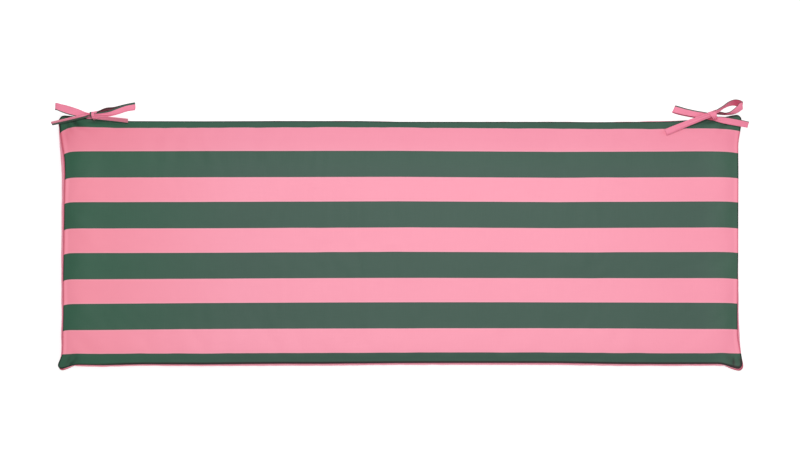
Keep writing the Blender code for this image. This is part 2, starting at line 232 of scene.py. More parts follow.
def wander(a, b, kind):
    """How far the seam or the bulge lies outside its plain lines, towards the end and the side."""
    def along(name, values):
        places, seams, bulges = np.array(WANDERS[name]).T * MM
        return np.interp(values, places, seams if kind == "seam" else bulges)

    return of_edges(a, b, lambda name: along(name, b), lambda name: along(name, a))


def edge_lines(a, b, kind):
    """The plain lines of the end and the side that each point is nearer to."""
    down, run = 0.5 - b / DEPTH, 0.5 + a / LENGTH
    return of_edges(a, b, lambda name: edge_line(name, kind, down), lambda name: edge_line(name, kind, run))


def corner_value(table, a, b, key):
    """A value of the corner that each point is nearest to."""
    left = np.where(b > 0, table["left", "back"][key], table["left", "front"][key])
    right = np.where(b > 0, table["right", "back"][key], table["right", "front"][key])
    return np.where(a < 0, left, right)


def ear_value(a, b, key):
    return corner_value(EARS, a, b, key)


def round_corner(x, y, half_x, half_y, radius):
    """Draws the square corner of a rectangle in to an arc, and the points near it with it."""
    s = np.clip((np.abs(x) - half_x + radius) / radius, 0, 1)
    t = np.clip((np.abs(y) - half_y + radius) / radius, 0, 1)
    in_x = radius * s * (1 - np.sqrt(1 - t * t / 2))
    in_y = radius * t * (1 - np.sqrt(1 - s * s / 2))
    return x - np.sign(x) * in_x, y - np.sign(y) * in_y


def lip(inside):
    """How far the panel stands out over its own seam."""
    roll = np.clip(inside / LIP_WIDTH, 0, 1) ** LIP_LEAN
    return np.where(inside < LIP_WIDTH, LIP * np.sin(np.pi * roll), 0.0)


def seam_plan(a, b, lower=0):
    """Where a panel's points lie, seen from above. Lower is 1 for the bottom panel."""
    half_x, half_y = edge_lines(a, b, "seam")
    more_x, more_y = wander(a, b, "seam")
    in_x, in_y = LENGTH / 2 - np.abs(a), DEPTH / 2 - np.abs(b)
    out_x = ear_value(a, b, "out_x") + lower * ear_value(a, b, "below_x")
    out_y = ear_value(a, b, "out_y") + lower * ear_value(a, b, "below_y")
    ear_x = out_x * smooth(1 - in_y / ear_value(a, b, "along_end")) * np.exp(-in_x / EAR_FADE)
    slope_y = ear_value(a, b, "slope_y")
    ear_y = out_y * smooth(1 - in_x / ear_value(a, b, "along_side"))
    ear_y = (ear_y + slope_y * smooth(1 - in_x / ear_value(a, b, "slope_run"))) * np.exp(-in_y / EAR_FADE)
    edge_x, edge_y = more_x * np.exp(-in_x / WANDER_FADE), more_y * np.exp(-in_y / WANDER_FADE)
    x = a / (LENGTH / 2) * half_x + np.sign(a) * (ear_x + edge_x + lip(in_x))
    y = b / (DEPTH / 2) * half_y + np.sign(b) * (ear_y + edge_y + lip(in_y))
    return round_corner(x, y, half_x + out_x + more_x, half_y + out_y + slope_y + more_y, EAR_TIP_RADIUS)


def filling_plan(a, b):
    """Where the boxing's bulge lies, seen from above."""
    half_x, half_y = (line + more for line, more in zip(edge_lines(a, b, "bulge"), wander(a, b, "bulge")))
    x, y = a / (LENGTH / 2) * half_x, b / (DEPTH / 2) * half_y
    return round_corner(x, y, half_x, half_y, FILLING_CORNER_RADIUS)


def panel_rise(a, b):
    """Rise of a panel from its seam, from 0 to 1."""
    rise = 1.0
    for inside in (LENGTH / 2 - np.abs(a), DEPTH / 2 - np.abs(b)):
        t = 1 - np.clip(inside / ROUNDING, 0, 1)
        rise = rise * np.sqrt(1 - t * t)
    return rise


def near_corner(a, b):
    near_end = smooth(1 - (LENGTH / 2 - np.abs(a)) / ear_value(a, b, "along_side"))
    near_side = smooth(1 - (DEPTH / 2 - np.abs(b)) / ear_value(a, b, "along_end"))
    return near_end * near_side


def crease_depth(x, y):
    """Depth of the listed creases of the top panel."""
    depth = np.zeros_like(x)
    for middle_x, middle_y, bearing, long, wide, deep in CREASES:
        c, s = math.cos(math.radians(bearing)), math.sin(math.radians(bearing))
        dx, dy = x - middle_x * MM, y - middle_y * MM
        along, across = (dx * c + dy * s) / (long * MM), (dy * c - dx * s) / (wide * MM)
        depth += deep * MM * np.exp(-along ** 2 - across ** 2)
    return depth


def top_points(a, b):
    x, y = seam_plan(a, b)
    rise = panel_rise(a, b)
    crown = CROWN * (1 - (2 * a / LENGTH) ** 2) * (1 - (2 * b / DEPTH) ** 2)
    z = SEAM_TOP + (SHOULDER - SEAM_TOP) * rise + crown - ear_value(a, b, "droop") * near_corner(a, b)
    return np.stack((x, y, z - crease_depth(x, y) * rise), axis=-1)


def bottom_points(a, b):
    x, y = seam_plan(a, b, lower=1)
    return np.stack((x, y, SEAM_BOTTOM * (1 - panel_rise(a, b))), axis=-1)


def boxing_points(a, b, w):
    """The boxing's points at shares of its height, from the bottom seam to the top one."""
    low, high = bottom_points(a, b), top_points(a, b)
    x, y = filling_plan(a, b)
    out = (4 * w * (1 - w)) ** BULGE_SHARPNESS * (1 - CORNER_SLACK * near_corner(a, b))
    place = low + (high - low) * w[..., None]
    place[..., 0] += (x - place[..., 0]) * out
    place[..., 1] += (y - place[..., 1]) * out
    return place


def stations(size, step):
    """Places from edge to edge, close together near both edges and even between them."""
    half = size / 2
    inner = half - EDGE_STATIONS[-1]
    middle = np.linspace(-inner, inner, round(2 * inner / step) + 1)
    ends = half - EDGE_STATIONS[:-1]
    return np.concatenate(((-half,), -ends, middle, ends[::-1], (half,)))


def block_skin(xs, ys, ws):
    """The skin of a block cut at stations: its points' places, its quads, and which quads are boxing."""
    nx, ny = len(xs), len(ys)
    grid_a, grid_b = np.meshgrid(xs, ys, indexing="ij")
    top = np.arange(nx * ny).reshape(nx, ny)
    bottom = top + nx * ny
    rim = [(i, 0) for i in range(nx)] + [(nx - 1, j) for j in range(1, ny)]
    rim += [(i, ny - 1) for i in range(nx - 2, -1, -1)] + [(0, j) for j in range(ny - 2, 0, -1)]
    rim_i, rim_j = np.array(rim).T
    rows = [bottom[rim_i, rim_j]]
    places = [np.stack((grid_a, grid_b, np.ones_like(grid_a)), -1).reshape(-1, 3)]
    places.append(np.stack((grid_a, grid_b, np.zeros_like(grid_a)), -1).reshape(-1, 3))
    first = 2 * nx * ny
    for k, w in enumerate(ws):
        rows.append(first + k * len(rim) + np.arange(len(rim)))
        places.append(np.stack((xs[rim_i], ys[rim_j], np.full(len(rim), w)), -1))
    rows.append(top[rim_i, rim_j])
    quads = []
    for layer, flip in ((top, False), (bottom, True)):
        corners = [layer[:-1, :-1], layer[1:, :-1], layer[1:, 1:], layer[:-1, 1:]]
        quads.append(np.stack(corners[::-1] if flip else corners, -1).reshape(-1, 4))
    panels = sum(len(q) for q in quads)
    for low, high in zip(rows, rows[1:]):
        quads.append(np.stack((low, np.roll(low, -1), np.roll(high, -1), high), -1))
    quads = np.concatenate(quads)
    return np.concatenate(places), quads, np.arange(len(quads)) >= panels


def sewn_form(place):
    """Where each point of the block's skin lies on the sewn pad."""
    a, b, w = place.T
    points = boxing_points(a, b, w)
    points[w == 1] = top_points(a[w == 1], b[w == 1])
    points[w == 0] = bottom_points(a[w == 0], b[w == 0])
    return points


def mesh_object(name, points, quads, material):
    mesh = bpy.data.meshes.new(name)
    mesh.from_pydata(points.tolist(), [], quads.tolist())
    if material:
        mesh.materials.append(material)
    mesh.shade_smooth()
    made = bpy.data.objects.new(name, mesh)
    bpy.context.scene.collection.objects.link(made)
    return made


def corner_attribute(mesh, name, values):
    """Stores a vector for each corner of each face."""
    layer = mesh.attributes.new(name, "FLOAT_VECTOR", "CORNER")
    layer.data.foreach_set("vector", np.asarray(values, dtype=np.float32).ravel())


def panel_run(values, axis):
    """Length of cloth from the middle of the panel to places along one of its axes."""
    line = np.linspace(0, (LENGTH, DEPTH)[axis] / 2, RUN_SAMPLES)
    zeros = np.zeros_like(line)
    points = top_points(line, zeros) if axis == 0 else top_points(zeros, line)
    gaps = np.linalg.norm(np.diff(points, axis=0), axis=1)
    run = np.concatenate(((0.0,), np.cumsum(gaps)))
    return np.sign(values) * np.interp(np.abs(values), line, run)


def stripe_drift(a, b):
    """How far the stripes have run towards the front at places of the panel."""
    xs, *columns = np.array(DRIFTS).T * MM
    back, middle, front, back_edge, front_edge = (np.interp(a, xs, column) for column in columns)
    t = np.clip(b / DRIFT_ROW, -1, 1)
    drift = middle + np.where(t > 0, (back - middle) * t, (middle - front) * t)
    in_x, in_y = LENGTH / 2 - np.abs(a), DEPTH / 2 - b
    at_back, at_front = np.exp(-in_y / DRIFT_EDGE_FADE), np.exp((in_y - DEPTH) / DRIFT_EDGE_FADE)
    drift += back_edge * at_back + front_edge * at_front
    end, end_fade = (np.where(a < 0, *pair) * MM for pair in zip(END_DRIFTS["left"], END_DRIFTS["right"]))
    drift += end * np.exp(-in_x / end_fade)
    corner, fade = (corner_value(CORNER_DRIFTS, a, b, key) * MM for key in ("corner", "fade"))
    return drift + corner * np.exp(-in_x / fade - np.minimum(in_y, DEPTH - in_y) / CORNER_DRIFT_FADE_Y)


def settled(xs, ys):
    """Moves of the points of a coarse cloth of the same form, held at its seams and blown up a little."""
    place, quads, _ = block_skin(xs, ys, SIM_BOXING_ROWS)
    start = sewn_form(place)
    cloth = mesh_object("settling", start, quads, None)
    hold = cloth.vertex_groups.new(name="hold")
    inside = np.minimum(LENGTH / 2 - np.abs(place[:, 0]), DEPTH / 2 - np.abs(place[:, 1]))
    w = place[:, 2]
    pull = np.where(w == 1, SIM_HOLD_MIDDLE * smooth(inside / SIM_HOLD_RUN), SIM_HOLD_MIDDLE)
    pull[(w == 0) | ((w == 1) & (inside < SAME_PLACE))] = 1.0
    pull = np.round(pull, 2)
    for weight in np.unique(pull):
        hold.add(np.nonzero(pull == weight)[0].tolist(), float(weight), "REPLACE")
    sim = cloth.modifiers.new("cloth", "CLOTH")
    for name, value in SIM_CLOTH.items():
        setattr(sim.settings, name, value)
    sim.settings.use_pressure = True
    sim.settings.uniform_pressure_force = SIM_PRESSURE
    sim.settings.shrink_min = sim.settings.shrink_max = -SIM_SLACK
    sim.settings.vertex_group_mass = "hold"
    sim.settings.effector_weights.gravity = 0
    sim.collision_settings.use_collision = False
    scene = bpy.context.scene
    for step in range(1, SIM_FRAMES + 1):
        scene.frame_set(step)
    seen = cloth.evaluated_get(bpy.context.evaluated_depsgraph_get())
    ended = np.empty(len(start) * 3)
    seen.data.vertices.foreach_get("co", ended)
    scene.frame_set(1)
    bpy.data.objects.remove(cloth)
    return ended.reshape(-1, 3) - start


def kept(moves, *ways):
    """What is kept of a grid of moves: without its slow swell along each way, lessened and capped."""
    swell = moves
    for axis, places in enumerate(ways):
        blur = np.exp(-((places[:, None] - places) / SIM_SWELL) ** 2 / 2)
        blur /= blur.sum(1)[:, None]
        swell = np.moveaxis(np.tensordot(blur, np.moveaxis(swell, axis, 0), 1), 0, axis)
    return SIM_CAP * np.tanh((moves - swell) * SIM_KEPT / SIM_CAP)


def blend_weights(fine, coarse):
    """Weights that read a smooth curve over evenly spaced values at other places."""
    t = np.clip((fine - coarse[0]) / (coarse[1] - coarse[0]), 0, len(coarse) - 1)
    first = np.minimum(t.astype(int), len(coarse) - 2)
    t = t - first
    parts = ((1 - t) ** 3, 3 * t ** 3 - 6 * t ** 2 + 4, -3 * t ** 3 + 3 * t ** 2 + 3 * t + 1, t ** 3)
    weights = np.zeros((len(fine), len(coarse)))
    for shift, part in enumerate(parts):
        np.add.at(weights, (np.arange(len(fine)), np.clip(first + shift - 1, 0, len(coarse) - 1)), part / 6)
    return weights


def rim_run(xs, ys):
    """Length round the block's edge at each of the points of its rim, from the front left corner."""
    along, up = xs - xs[0], ys - ys[0]
    front, right = along, along[-1] + up[1:]
    back, left = right[-1] + along[1:], right[-1] + along[-1] + up[1:-1]
    return np.concatenate((front, right, back, left))


def settle(points, xs, ys, ws):
    """Moves the fine skin's points as the simulated cloth moved: the top panel's and the boxing's."""
    coarse_x = np.linspace(-LENGTH / 2, LENGTH / 2, round(LENGTH / SIM_STEP) + 1)
    coarse_y = np.linspace(-DEPTH / 2, DEPTH / 2, round(DEPTH / SIM_STEP) + 1)
    moves = settled(coarse_x, coarse_y)
    nx, ny = len(coarse_x), len(coarse_y)
    top = kept(moves[:nx * ny].reshape(nx, ny, 3), coarse_x, coarse_y)
    along, across = blend_weights(xs, coarse_x), blend_weights(ys, coarse_y)
    top = np.einsum("ai,bj,ijk->abk", along, across, top, optimize=True)
    in_x, in_y = LENGTH / 2 - np.abs(xs)[:, None], DEPTH / 2 - np.abs(ys)[None]
    top *= smooth(np.minimum(in_x, in_y) / SIM_STEP)[..., None]
    points[:len(xs) * len(ys)] += top.reshape(-1, 3)
    run, fine_run = rim_run(coarse_x, coarse_y), rim_run(xs, ys)
    side = kept(moves[2 * nx * ny:].reshape(len(SIM_BOXING_ROWS), len(run), 3).transpose(1, 0, 2), run)
    side = np.einsum("ai,ijk->ajk", blend_weights(fine_run, np.arange(len(run)) * SIM_STEP), side)
    held = np.zeros((len(fine_run), 1, 3))
    side = np.concatenate((held, side, held), axis=1)
    heights = np.concatenate(((0.0,), SIM_BOXING_ROWS, (1.0,)))
    curves = side.transpose(0, 2, 1).reshape(-1, len(heights))
    first = 2 * len(xs) * len(ys)
    for k, w in enumerate(ws):
        row = np.stack([np.interp(w, heights, curve) for curve in curves])
        points[first + k * len(fine_run):first + (k + 1) * len(fine_run)] += row.reshape(-1, 3)


def make_cushion(material):
    """The cover, with the cloth's run and the distance from the seams stored on its faces' corners."""
    xs, ys = stations(LENGTH, FINE_STEP), stations(DEPTH, FINE_STEP)
    place, quads, is_boxing = block_skin(xs, ys, BOXING_ROWS)
    points = sewn_form(place)
    settle(points, xs, ys, BOXING_ROWS)
    made = mesh_object("cushion_cover", points, quads, material)
    corners = place[quads]
    a, b, w = corners[..., 0], corners[..., 1], corners[..., 2]
    run_a, run_b = panel_run(a, 0), panel_run(b, 1) + stripe_drift(a, b)
    on_side = np.ptp(b, axis=1)[:, None] < SAME_PLACE
    run = np.where(on_side, a, b)
    height = SEAM_BOTTOM + (SEAM_TOP - SEAM_BOTTOM) * w
    boxing = np.repeat(is_boxing[:, None], 4, axis=1)
    cloth = np.stack((np.where(boxing, run, run_a), np.where(boxing, height, run_b), boxing), -1)
    corner_attribute(made.data, "cloth", cloth)
    inside = np.minimum(LENGTH / 2 - np.abs(a), DEPTH / 2 - np.abs(b))
    from_seam = np.where(boxing, np.minimum(w, 1 - w) * (SEAM_TOP - SEAM_BOTTOM), inside)
    # The creases' depth, by which the cloth is darkened as painted shade
    sunk = np.where(w == 1, crease_depth(points[quads][..., 0], points[quads][..., 1]), 0.0)
    corner_attribute(made.data, "seam", np.stack((from_seam, sunk, np.zeros_like(w)), -1))
    return made


# The ties

# The folded strip: its size, its steps, and the points across it, between turns and round a wrap
TIE_WIDTH = 0.012
TIE_THICK = 0.0020
TIE_EDGE_THICK = 0.06 * TIE_THICK
TIE_FLATNESS = 8
TIE_STEP = 0.0013
TIE_LEAST_STEPS = 4
TIE_ACROSS = 17
TURN_STEPS = 24
WRAP_STEPS = 120

# Its stitches' place, width and dent as shares, its gathers, and how it sags across its width
STITCH_IN = 0.80
STITCH_WIDE = 0.07
STITCH_DENT = 0.30
GATHER = 0.20
GATHER_FOLDS = 2.5
SAG_ACROSS = 0.05
SAG_MIDDLE = 0.3

# A place on a tie's way in mm, the bearing and rise of its width in degrees, the share of its width it
# keeps, and how deep its painted shade is, or below zero how strong its painted pale sheen is
Turn = namedtuple("Turn", "x y z bearing rise share shade", defaults=(0.0,))

# Left bow: the drawn tie makes the left loop and left tail, the wrapped one the right loop and right tail
LEFT_DRAWN = {
    "loop": (
        Turn(-536.5, 221.8, 47.9, 84, 0, 0.48),
        Turn(-545.0, 222.9, 47.8, 82, 0, 0.52),
        Turn(-554.0, 224.0, 47.2, 79, 0, 0.76),
        Turn(-568.0, 228.6, 46.4, 78, 5, 0.95, 0.2),
        Turn(-588.0, 234.6, 45.4, 80, 5, 0.98, 0.2),
        Turn(-600.2, 237.0, 45.6, 86, 0, 1.00),
        Turn(-603.4, 237.4, 48.0, 88, 0, 1.02),
        Turn(-600.4, 237.2, 50.6, 86, 0, 1.04),
        Turn(-586.0, 231.8, 51.8, 79, -4, 1.12),
        Turn(-569.0, 227.0, 52.2, 77, -4, 1.14),
        Turn(-555.0, 223.2, 51.4, 80, 0, 0.90),
        Turn(-545.0, 222.3, 50.3, 83, 0, 0.64),
        Turn(-536.5, 221.8, 50.0, 84, 0, 0.48),
    ),
    "tail": (
        Turn(-536.5, 221.7, 51.5, 84, 0, 0.42),
        Turn(-544.5, 222.1, 51.6, 84, 4, 0.44),
        Turn(-554.0, 219.4, 53.8, 81, 40, 0.76, -0.4),
        Turn(-568.0, 215.9, 55.4, 79, 54, 0.94, -0.6),
        Turn(-590.0, 210.9, 55.0, 77, 60, 1.00, -0.8),
        Turn(-609.6, 206.9, 53.4, 77, 62, 1.00, -1.0),
    ),
    "stem": (
        Turn(-557.2, 214.80, 43.8, 0, 0, 1.06, 0.8),
        Turn(-557.2, 218.6, 44.2, 0, 0, 1.06, 0.7),
        Turn(-557.2, 225.0, 46.2, 0, 0, 0.90, 0.3),
    ),
}
LEFT_WRAPPED = {
    "loop": (
        Turn(-538.0, 224.6, 49.6, 90, 60, 0.50, 0.9),
        Turn(-527.0, 227.2, 50.4, 108, 48, 0.66, 1.0),
        Turn(-514.0, 231.0, 50.2, 104, 30, 0.80, 1.0),
        Turn(-500.0, 232.0, 48.8, 98, 12, 0.84, 1.0),
        Turn(-482.0, 236.0, 46.8, 100, 6, 0.94, 0.5),
        Turn(-468.0, 238.0, 46.4, 92, 0, 1.10),
        Turn(-464.6, 238.0, 48.8, 90, 0, 1.12),
        Turn(-467.4, 237.0, 51.6, 92, 0, 1.12),
        Turn(-480.0, 234.4, 53.4, 105, 4, 1.06),
        Turn(-495.0, 229.0, 54.8, 110, 8, 1.00),
        Turn(-508.0, 224.8, 55.4, 103, 12, 0.86),
        Turn(-524.0, 222.8, 55.8, 94, 8, 0.68),
        Turn(-535.0, 222.2, 55.7, 90, 0, 0.55),
    ),
    "tail": (
        Turn(-538.0, 218.4, 54.3, 90, 35, 0.50),
        Turn(-523.0, 217.0, 54.6, 97, 42, 0.74, -0.3),
        Turn(-500.0, 214.7, 54.6, 97, 52, 0.92, -0.7),
        Turn(-476.0, 211.9, 54.4, 96, 50, 0.94, -1.0),
    ),
    "stem": (
        Turn(-543.8, 214.60, 43.5, 0, 0, 1.14),
        Turn(-543.8, 217.6, 44.7, 0, 0, 1.14),
        Turn(-542.5, 220.0, 44.9, 0, 0, 0.95),
    ),
}

# Right bow: the drawn tie makes the left loop and right tail, the wrapped one the right loop and left tail
RIGHT_DRAWN = {
    "loop": (
        Turn(548.5, 221.6, 47.9, 82, 0, 0.48),
        Turn(542.0, 222.6, 47.8, 83, 0, 0.52),
        Turn(531.0, 222.6, 47.2, 82, 0, 0.78, 0.4),
        Turn(516.0, 223.6, 46.4, 78, 0, 0.95, 0.5),
        Turn(496.0, 227.6, 45.6, 70, 0, 1.00, 0.5),
        Turn(483.6, 231.2, 45.7, 64, 0, 1.08, 0.3),
        Turn(480.2, 232.8, 48.2, 62, 0, 1.10),
        Turn(483.8, 232.4, 50.6, 64, 0, 1.08),
        Turn(500.0, 228.0, 51.7, 73, -4, 1.00),
        Turn(517.0, 224.6, 51.6, 79, 0, 0.94),
        Turn(531.0, 223.4, 50.9, 82, 0, 0.76),
        Turn(542.0, 222.6, 50.3, 83, 0, 0.54),
        Turn(548.5, 221.6, 50.0, 82, 0, 0.48),
    ),
    "tail": (
        Turn(536.5, 219.2, 50.8, 84, 0, 0.66, 0.6),
        Turn(543.0, 217.6, 51.0, 86, 0, 0.66, 0.6),
        Turn(550.5, 216.4, 51.4, 90, 2, 0.66, 0.3),
        Turn(556.5, 215.0, 52.0, 94, 8, 0.78),
        Turn(564.0, 213.8, 52.8, 97, 14, 0.94),
        Turn(576.0, 211.7, 53.0, 100, 14, 1.00),
        Turn(592.0, 208.8, 52.8, 100, 16, 1.00),
        Turn(609.8, 205.4, 51.6, 98, 24, 0.98),
    ),
    "stem": (
        Turn(531.0, 214.10, 43.6, 0, 0, 0.90),
        Turn(531.0, 218.6, 44.4, 0, 0, 0.90),
        Turn(531.0, 223.0, 47.4, 0, 0, 0.85),
    ),
}
RIGHT_WRAPPED = {
    "loop": (
        Turn(547.0, 224.8, 53.0, 104, 10, 0.56),
        Turn(555.5, 229.4, 54.2, 118, 42, 0.62),
        Turn(566.0, 236.4, 53.8, 118, 62, 0.82),
        Turn(575.0, 241.6, 51.8, 110, 52, 0.96, 0.2),
        Turn(584.5, 244.4, 50.2, 98, 34, 1.00, 0.5),
        Turn(592.5, 243.4, 49.2, 92, 18, 1.04, 0.6),
        Turn(597.4, 240.4, 49.4, 90, 4, 1.08, 0.6),
        Turn(599.2, 238.7, 51.3, 90, 0, 1.10, 0.2),
        Turn(597.4, 237.6, 53.1, 94, 4, 1.08),
        Turn(592.6, 233.0, 53.6, 118, 30, 1.02),
        Turn(586.0, 228.4, 53.4, 128, 44, 1.00),
        Turn(578.4, 225.0, 52.4, 122, 62, 0.90, 0.2),
        Turn(569.6, 224.2, 51.2, 100, 80, 0.76, 0.7),
        Turn(560.6, 225.2, 50.0, 94, 60, 0.64, 0.9),
        Turn(549.5, 226.6, 48.8, 90, 70, 0.50, 0.9),
    ),
    "tail": (
        Turn(549.0, 224.8, 53.4, 112, 0, 0.60),
        Turn(541.0, 221.6, 54.8, 112, 3, 0.74),
        Turn(530.0, 217.8, 56.4, 111, 5, 0.78),
        Turn(516.0, 212.4, 56.0, 111, 5, 0.84),
        Turn(496.0, 204.5, 54.6, 111, 4, 0.88),
        Turn(478.0, 197.2, 53.8, 112, 2, 0.94),
        Turn(465.0, 191.8, 53.0, 128, 0, 0.98),
    ),
    "stem": (
        Turn(548.5, 214.65, 43.6, 0, 0, 0.75),
        Turn(548.5, 217.2, 44.0, 0, 0, 0.75),
        Turn(548.5, 220.8, 44.8, 0, 0, 0.70),
    ),
}

# Each wrap: its middle and half sizes in mm, its turn in degrees, its width as a share, how much that grows
# to the back, and how far it slants and from where
WRAPS = {
    "left": dict(
        knot=(-535.0, 221.6, 50.2), half_sizes=(6.3, 5.1), turn=8,
        share=0.84, taper=0.30, slant=1.2, phase=2.6,
    ),
    "right": dict(
        knot=(549.6, 221.6, 51.0), half_sizes=(7.6, 5.6), turn=20,
        share=0.86, taper=0.46, slant=0.6, phase=2.4,
    ),
}

# Where green shows on each stretch, in mm from its middle: above that on the width's own side, or below it
GREEN_ABOVE = {"left_b_loop": 3.2, "right_a_loop": 4.0, "right_a_tail": 5.0, "right_b_loop": 5.5}
GREEN_BELOW = {"left_a_loop": -4.7, "left_a_tail": 1.6, "left_b_tail": -3.8, "left_b_wrap": -3.0}

# The measure of green where there is none, and how much less of it a wrap shows at its front, in metres
NO_GREEN = -0.01
WRAP_GREEN_LESS = 0.0042


def width_way(turn):
    """The way a tie's width points, with a length of its share of the full width."""
    bearing, rise = math.radians(turn.bearing), math.radians(turn.rise)
    level = math.cos(rise)
    return turn.share * np.array((level * math.cos(bearing), level * math.sin(bearing), math.sin(rise)))


def between(values, step):
    """A smooth curve through rows of values, at steps counted in rows."""
    first = np.minimum(step.astype(int), len(values) - 2)
    t = (step - first)[:, None]
    before, start, end, after = (values[np.clip(first + i, 0, len(values) - 1)] for i in (-1, 0, 1, 2))
    bend = 2 * start + (end - before) * t + (2 * before - 5 * start + 4 * end - after) * t * t
    return (bend + (3 * start - before - 3 * end + after) * t ** 3) / 2


def even_run(places, ways, shades):
    """Resamples a way at even steps of its length."""
    gaps = np.linalg.norm(np.diff(places, axis=0), axis=1)
    run = np.concatenate(((0.0,), np.cumsum(gaps)))
    steps = np.linspace(0, run[-1], max(TIE_LEAST_STEPS, round(run[-1] / TIE_STEP)) + 1)
    columns = ([np.interp(steps, run, column) for column in rows.T] for rows in (places, ways, shades))
    return steps, *(np.stack(values, -1) for values in columns)


def way_of_turns(turns):
    """The smooth way through a list of turns."""
    places = np.array([(turn.x, turn.y, turn.z) for turn in turns]) * MM
    ways = np.array([width_way(turn) for turn in turns])
    shades = np.array([(turn.shade,) for turn in turns])
    step = np.linspace(0, len(turns) - 1, TURN_STEPS * (len(turns) - 1) + 1)
    return even_run(*(between(rows, step) for rows in (places, ways, shades)))


def way_of_wrap(knot, half_sizes, turn, share, taper, slant, phase):
    """The closed way of the wrap round a knot."""
    angle = np.linspace(0, 2 * math.pi, WRAP_STEPS + 1)
    c, s = math.cos(math.radians(turn)), math.sin(math.radians(turn))
    along = slant * np.cos(angle + phase)
    across, up = half_sizes[0] * np.cos(angle), half_sizes[1] * np.sin(angle)
    places = np.stack((along * c - across * s, along * s + across * c, up), -1)
    ways = share * (1 + taper * np.cos(angle))[:, None] * np.array((c, s, 0.0))
    return even_run((np.array(knot) + places) * MM, ways, np.zeros((len(angle), 1)))


def strip_axes(places, ways, closed):
    """At each place: the share of the full width, the way across the strip and the way out of its face."""
    ahead = np.roll(places, -1, 0) - np.roll(places, 1, 0) if closed else np.gradient(places, axis=0)
    ahead /= np.linalg.norm(ahead, axis=1)[:, None]
    share = np.linalg.norm(ways, axis=1)
    across = ways - ahead * np.sum(ways * ahead, 1)[:, None]
    across /= np.linalg.norm(across, axis=1)[:, None]
    return share, across, np.cross(ahead, across)


def strip_quads(rings, around, closed):
    """The quads between rings of points, with a cap of quads on both ends of an open strip."""
    index = np.arange(rings * around).reshape(rings, around)
    here, there = (index, np.roll(index, -1, 0)) if closed else (index[:-1], index[1:])
    quads = np.stack((here, there, np.roll(there, -1, 1), np.roll(here, -1, 1)), -1).reshape(-1, 4)
    if closed:
        return quads
    half = np.arange(TIE_ACROSS - 1)
    for ring, flip in ((index[0], False), (index[-1], True)):
        cap = np.stack((ring[half], ring[half + 1], ring[around - 2 - half], ring[around - 1 - half]), -1)
        quads = np.concatenate((quads, cap[:, ::-1] if flip else cap))
    return quads


def green_dye(turns, v, above, below, closed):
    """How far inside its green each point of a strip lies. Turns are the shares of the way gone."""
    dye = np.full((len(turns), len(v)), NO_GREEN)
    if above is not None:
        dye[:] = v - above * MM
    if below is not None:
        dye[:] = below * MM - v
    if closed:
        dye -= WRAP_GREEN_LESS * (1 - np.cos(2 * math.pi * turns)) / 2
    return dye


def strip_mesh(run, places, ways, shades, closed, green_above, green_below):
    """A folded, stitched strip along its way: points, quads, and their corners' cloth and gathers."""
    if closed:
        places, ways, shades = places[:-1], ways[:-1], shades[:-1]
    share, across, normals = strip_axes(places, ways, closed)
    u = -np.cos(np.linspace(0, math.pi, TIE_ACROSS))
    dent = STITCH_DENT * np.exp(-((np.abs(u) - STITCH_IN) / STITCH_WIDE) ** 2)
    thick = TIE_THICK / 2 * np.clip(1 - u ** TIE_FLATNESS, 0.0, 1) ** 0.5
    thick = np.maximum(thick * (1 - dent), TIE_EDGE_THICK)
    side = (share * TIE_WIDTH / 2)[:, None] * u
    gathers = (np.maximum(1 - share, 0) * TIE_WIDTH * GATHER)[:, None] * np.cos(math.pi * GATHER_FOLDS * u)
    fold = gathers + TIE_WIDTH * SAG_ACROSS * np.minimum(share, 1)[:, None] * (u ** 2 - SAG_MIDDLE)
    middle = places[:, None] + across[:, None] * side[..., None] + normals[:, None] * fold[..., None]
    upper, lower = middle + normals[:, None] * thick[:, None], middle - normals[:, None] * thick[:, None]
    points = np.concatenate((upper, lower[:, ::-1]), axis=1)
    rings, around = points.shape[:2]
    quads = strip_quads(rings, around, closed)
    v = np.concatenate((u, u[::-1])) * TIE_WIDTH / 2
    gone = run[:rings, None]
    dye = green_dye(gone / run[-1], v, green_above, green_below, closed)
    cloth = np.stack(np.broadcast_arrays(gone, v, dye), -1).reshape(-1, 3)
    # How deep each point lies in a gather's valley, and the turns' shade, both kept for painted shade
    sunk = -np.sign(normals[:, 2:]) * gathers
    valley = np.concatenate((sunk, -sunk[:, ::-1]), axis=1)
    gather = np.stack(np.broadcast_arrays(valley, shades, 0.0), -1).reshape(-1, 3)
    return points.reshape(-1, 3), quads, cloth[quads], gather[quads]


def make_tie(name, tie, material, wrap=None):
    """A tie in one piece: its loop, tail and stem, and its wrap where it has one."""
    ways = {part: (*way_of_turns(turns), False) for part, turns in tie.items()}
    if wrap:
        ways["wrap"] = (*way_of_wrap(**wrap), True)
    points, quads, cloth, gather, count, length = [], [], [], [], 0, 0.0
    for part, (run, *way, closed) in ways.items():
        key = f"{name}_{part}"
        made = strip_mesh(run, *way, closed, GREEN_ABOVE.get(key), GREEN_BELOW.get(key))
        points.append(made[0])
        quads.append(made[1] + count)
        cloth.append(made[2])
        gather.append(made[3])
        count += len(made[0])
        length += run[-1]
    piece = mesh_object("tie_cloth_" + name, np.concatenate(points), np.concatenate(quads), material)
    corner_attribute(piece.data, "cloth", np.concatenate(cloth))
    corner_attribute(piece.data, "gather", np.concatenate(gather))
    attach(piece, "root")
    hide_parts("tie_" + name)


# The materials

# Colours of the cover's cloth, with painted shade for the ends and painted light for the right end's green
PINK = (0.935, 0.338, 0.445)
PINK_LEFT_PAINTED_SHADE = (0.915, 0.283, 0.367)
PINK_RIGHT_PAINTED_SHADE = (0.925, 0.305, 0.412)
PINK_SHADE = (0.830, 0.260, 0.360)
PINK_PALE = (0.93, 0.50, 0.56)
PINK_ROLL_HIGHLIGHT = (1.0, 0.345, 0.450)
GREEN = (0.047, 0.098, 0.073)
GREEN_LEFT_PAINTED_SHADE = (0.033, 0.111, 0.065)
GREEN_RIGHT_PAINTED_LIGHT = (0.060, 0.135, 0.090)
GREEN_SHADE = (0.022, 0.060, 0.040)
